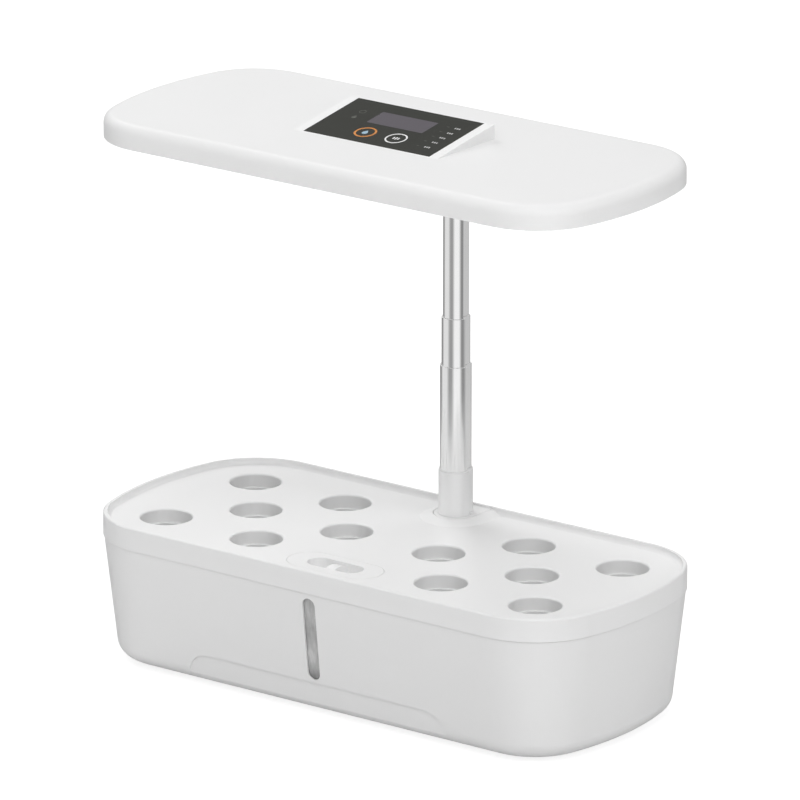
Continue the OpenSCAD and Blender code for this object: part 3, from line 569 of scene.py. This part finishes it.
def set_camera():
    back = bearing_vector(VIEW_AZIMUTH, VIEW_ELEVATION)
    right = Vector((math.cos(VIEW_AZIMUTH), math.sin(VIEW_AZIMUTH), 0.0))
    up = back.cross(right)
    data = bpy.data.cameras.new("camera")
    data.lens = VIEW_LENS
    data.sensor_width = SENSOR
    data.clip_end = FAR_CLIP
    camera = bpy.data.objects.new("camera", data)
    bpy.context.scene.collection.objects.link(camera)
    turn = Matrix((right, up, back)).transposed().to_4x4()
    camera.matrix_world = Matrix.Translation(
        AIM + VIEW_DISTANCE * back + AIM_RIGHT * right + AIM_UP * up) @ turn
    bpy.context.scene.camera = camera


set_camera()


# ---------- light and stage ----------

# Shades of the studio round the object, as metal sees it: bright screens with grey gaps
# between them. Each is the bearing where it begins, in degrees from the camera's, and a shade.
STUDIO_BANDS = ((-180, 148), (-121, 234), (-60, 163), (-20, 253), (37, 147), (72, 204),
                (126, 146))
BAND_BLEND = 20.0                       # degrees over which one shade turns into the next
AMBIENT = 0.24                          # grey of the even light from all round


def band_stops():
    """The studio's shades as stops of a ramp that runs once round, from -180 degrees."""
    shades = [shade for _, shade in STUDIO_BANDS]
    stops = [(0.0, shades[0])]
    for (start, shade), before in zip(STUDIO_BANDS[1:], shades):
        stops.append(((start - BAND_BLEND / 2 + 180) / 360, before))
        stops.append(((start + BAND_BLEND / 2 + 180) / 360, shade))
    return stops + [(1.0, shades[-1])]


def set_world():
    """The studio: its bands in reflections, an even grey as light, white to the camera."""
    world = bpy.data.worlds.new("studio")
    bpy.context.scene.world = world
    world.use_nodes = True
    tree = world.node_tree
    tree.nodes.clear()
    rays = place(tree, "ShaderNodeLightPath").outputs
    where = place(tree, "ShaderNodeTexCoord").outputs["Generated"]
    spin = place(tree, "ShaderNodeVectorRotate",
                 {"Vector": where, "Angle": math.pi / 2 - VIEW_AZIMUTH}, rotation_type="Z_AXIS")
    split = place(tree, "ShaderNodeSeparateXYZ", {0: spin.outputs[0]}).outputs
    bearing = calc(tree, "ARCTAN2", split["Y"], split["X"])
    bands = shade_ramp(tree, fade(tree, bearing, -math.pi, math.pi), band_stops())
    seen = calc(tree, "MAXIMUM", rays["Is Camera Ray"], rays["Is Transmission Ray"])
    lit = mix(tree, rays["Is Glossy Ray"], grey(AMBIENT), bands)
    light = place(tree, "ShaderNodeBackground", {"Color": mix(tree, seen, lit, WHITE)})
    place(tree, "ShaderNodeOutputWorld", {"Surface": light.outputs[0]})


# Softboxes: name, bearing from the camera to the right and height, both in degrees,
# distance from the lit point and width in metres, and power in watts.
SOFTBOXES = (
    ("overhead", 10, 78, 2.6, 2.2, 12.5),
    ("high_front", -8, 44, 2.8, 2.0, 31.0),
    ("left_front", -62, 34, 2.8, 1.8, 8.1),
    ("right_front", 44, 28, 2.8, 1.6, 18.2),
    ("back_left", -155, 38, 2.8, 1.8, 41.7),
    ("back_right", 140, 38, 2.8, 1.8, 12.7),
)
LIT_POINT = Vector((0.0, 0.0, 0.1))     # what the softboxes are turned towards


def softbox(name, bearing, height, distance, size, power):
    data = bpy.data.lights.new(name, "AREA")
    data.shape = "SQUARE"
    data.size = size
    data.energy = power
    lamp = bpy.data.objects.new(name, data)
    bpy.context.scene.collection.objects.link(lamp)
    towards = bearing_vector(VIEW_AZIMUTH + math.radians(bearing), math.radians(height))
    lamp.location = LIT_POINT + distance * towards
    lamp.rotation_euler = (-towards).to_track_quat("-Z", "Y").to_euler()
    lamp.visible_glossy = False


FLOOR_REACH = 30.0          # from the middle to each side
FLOOR_MATT = 0.26           # what the camera sees: the share that takes the shadow,
FLOOR_GLOW = 0.84           # and the share that is always there
FLOOR_BOUNCE = 0.8          # how pale the floor is to light that falls on it


def floor_material():
    material = bpy.data.materials.new("floor")
    material.use_nodes = True
    tree = material.node_tree
    tree.nodes.clear()
    plain = place(tree, "ShaderNodeBsdfDiffuse", {"Color": grey(FLOOR_BOUNCE)})
    matt = place(tree, "ShaderNodeBsdfDiffuse", {"Color": grey(FLOOR_MATT)})
    glow = place(tree, "ShaderNodeEmission", {"Color": grey(FLOOR_GLOW)})
    both = place(tree, "ShaderNodeAddShader", {0: matt.outputs[0], 1: glow.outputs[0]})
    rays = place(tree, "ShaderNodeLightPath").outputs
    pick = place(tree, "ShaderNodeMixShader",
                 {0: rays["Is Camera Ray"], 1: plain.outputs[0], 2: both.outputs[0]})
    place(tree, "ShaderNodeOutputMaterial", {"Surface": pick.outputs[0]})
    return material


def set_floor():
    """Pale floor that keeps the object's shadow and looks white where nothing shades it."""
    mesh = bpy.data.meshes.new("floor")
    corners = [(x * FLOOR_REACH, y * FLOOR_REACH, 0)
               for x, y in ((-1, -1), (1, -1), (1, 1), (-1, 1))]
    mesh.from_pydata(corners, [], [(0, 1, 2, 3)])
    mesh.materials.append(floor_material())
    floor = bpy.data.objects.new("floor", mesh)
    bpy.context.scene.collection.objects.link(floor)
    floor.visible_glossy = False


set_world()
for box in SOFTBOXES:
    softbox(*box)
set_floor()
bpy.context.scene.view_settings.view_transform = "Standard"
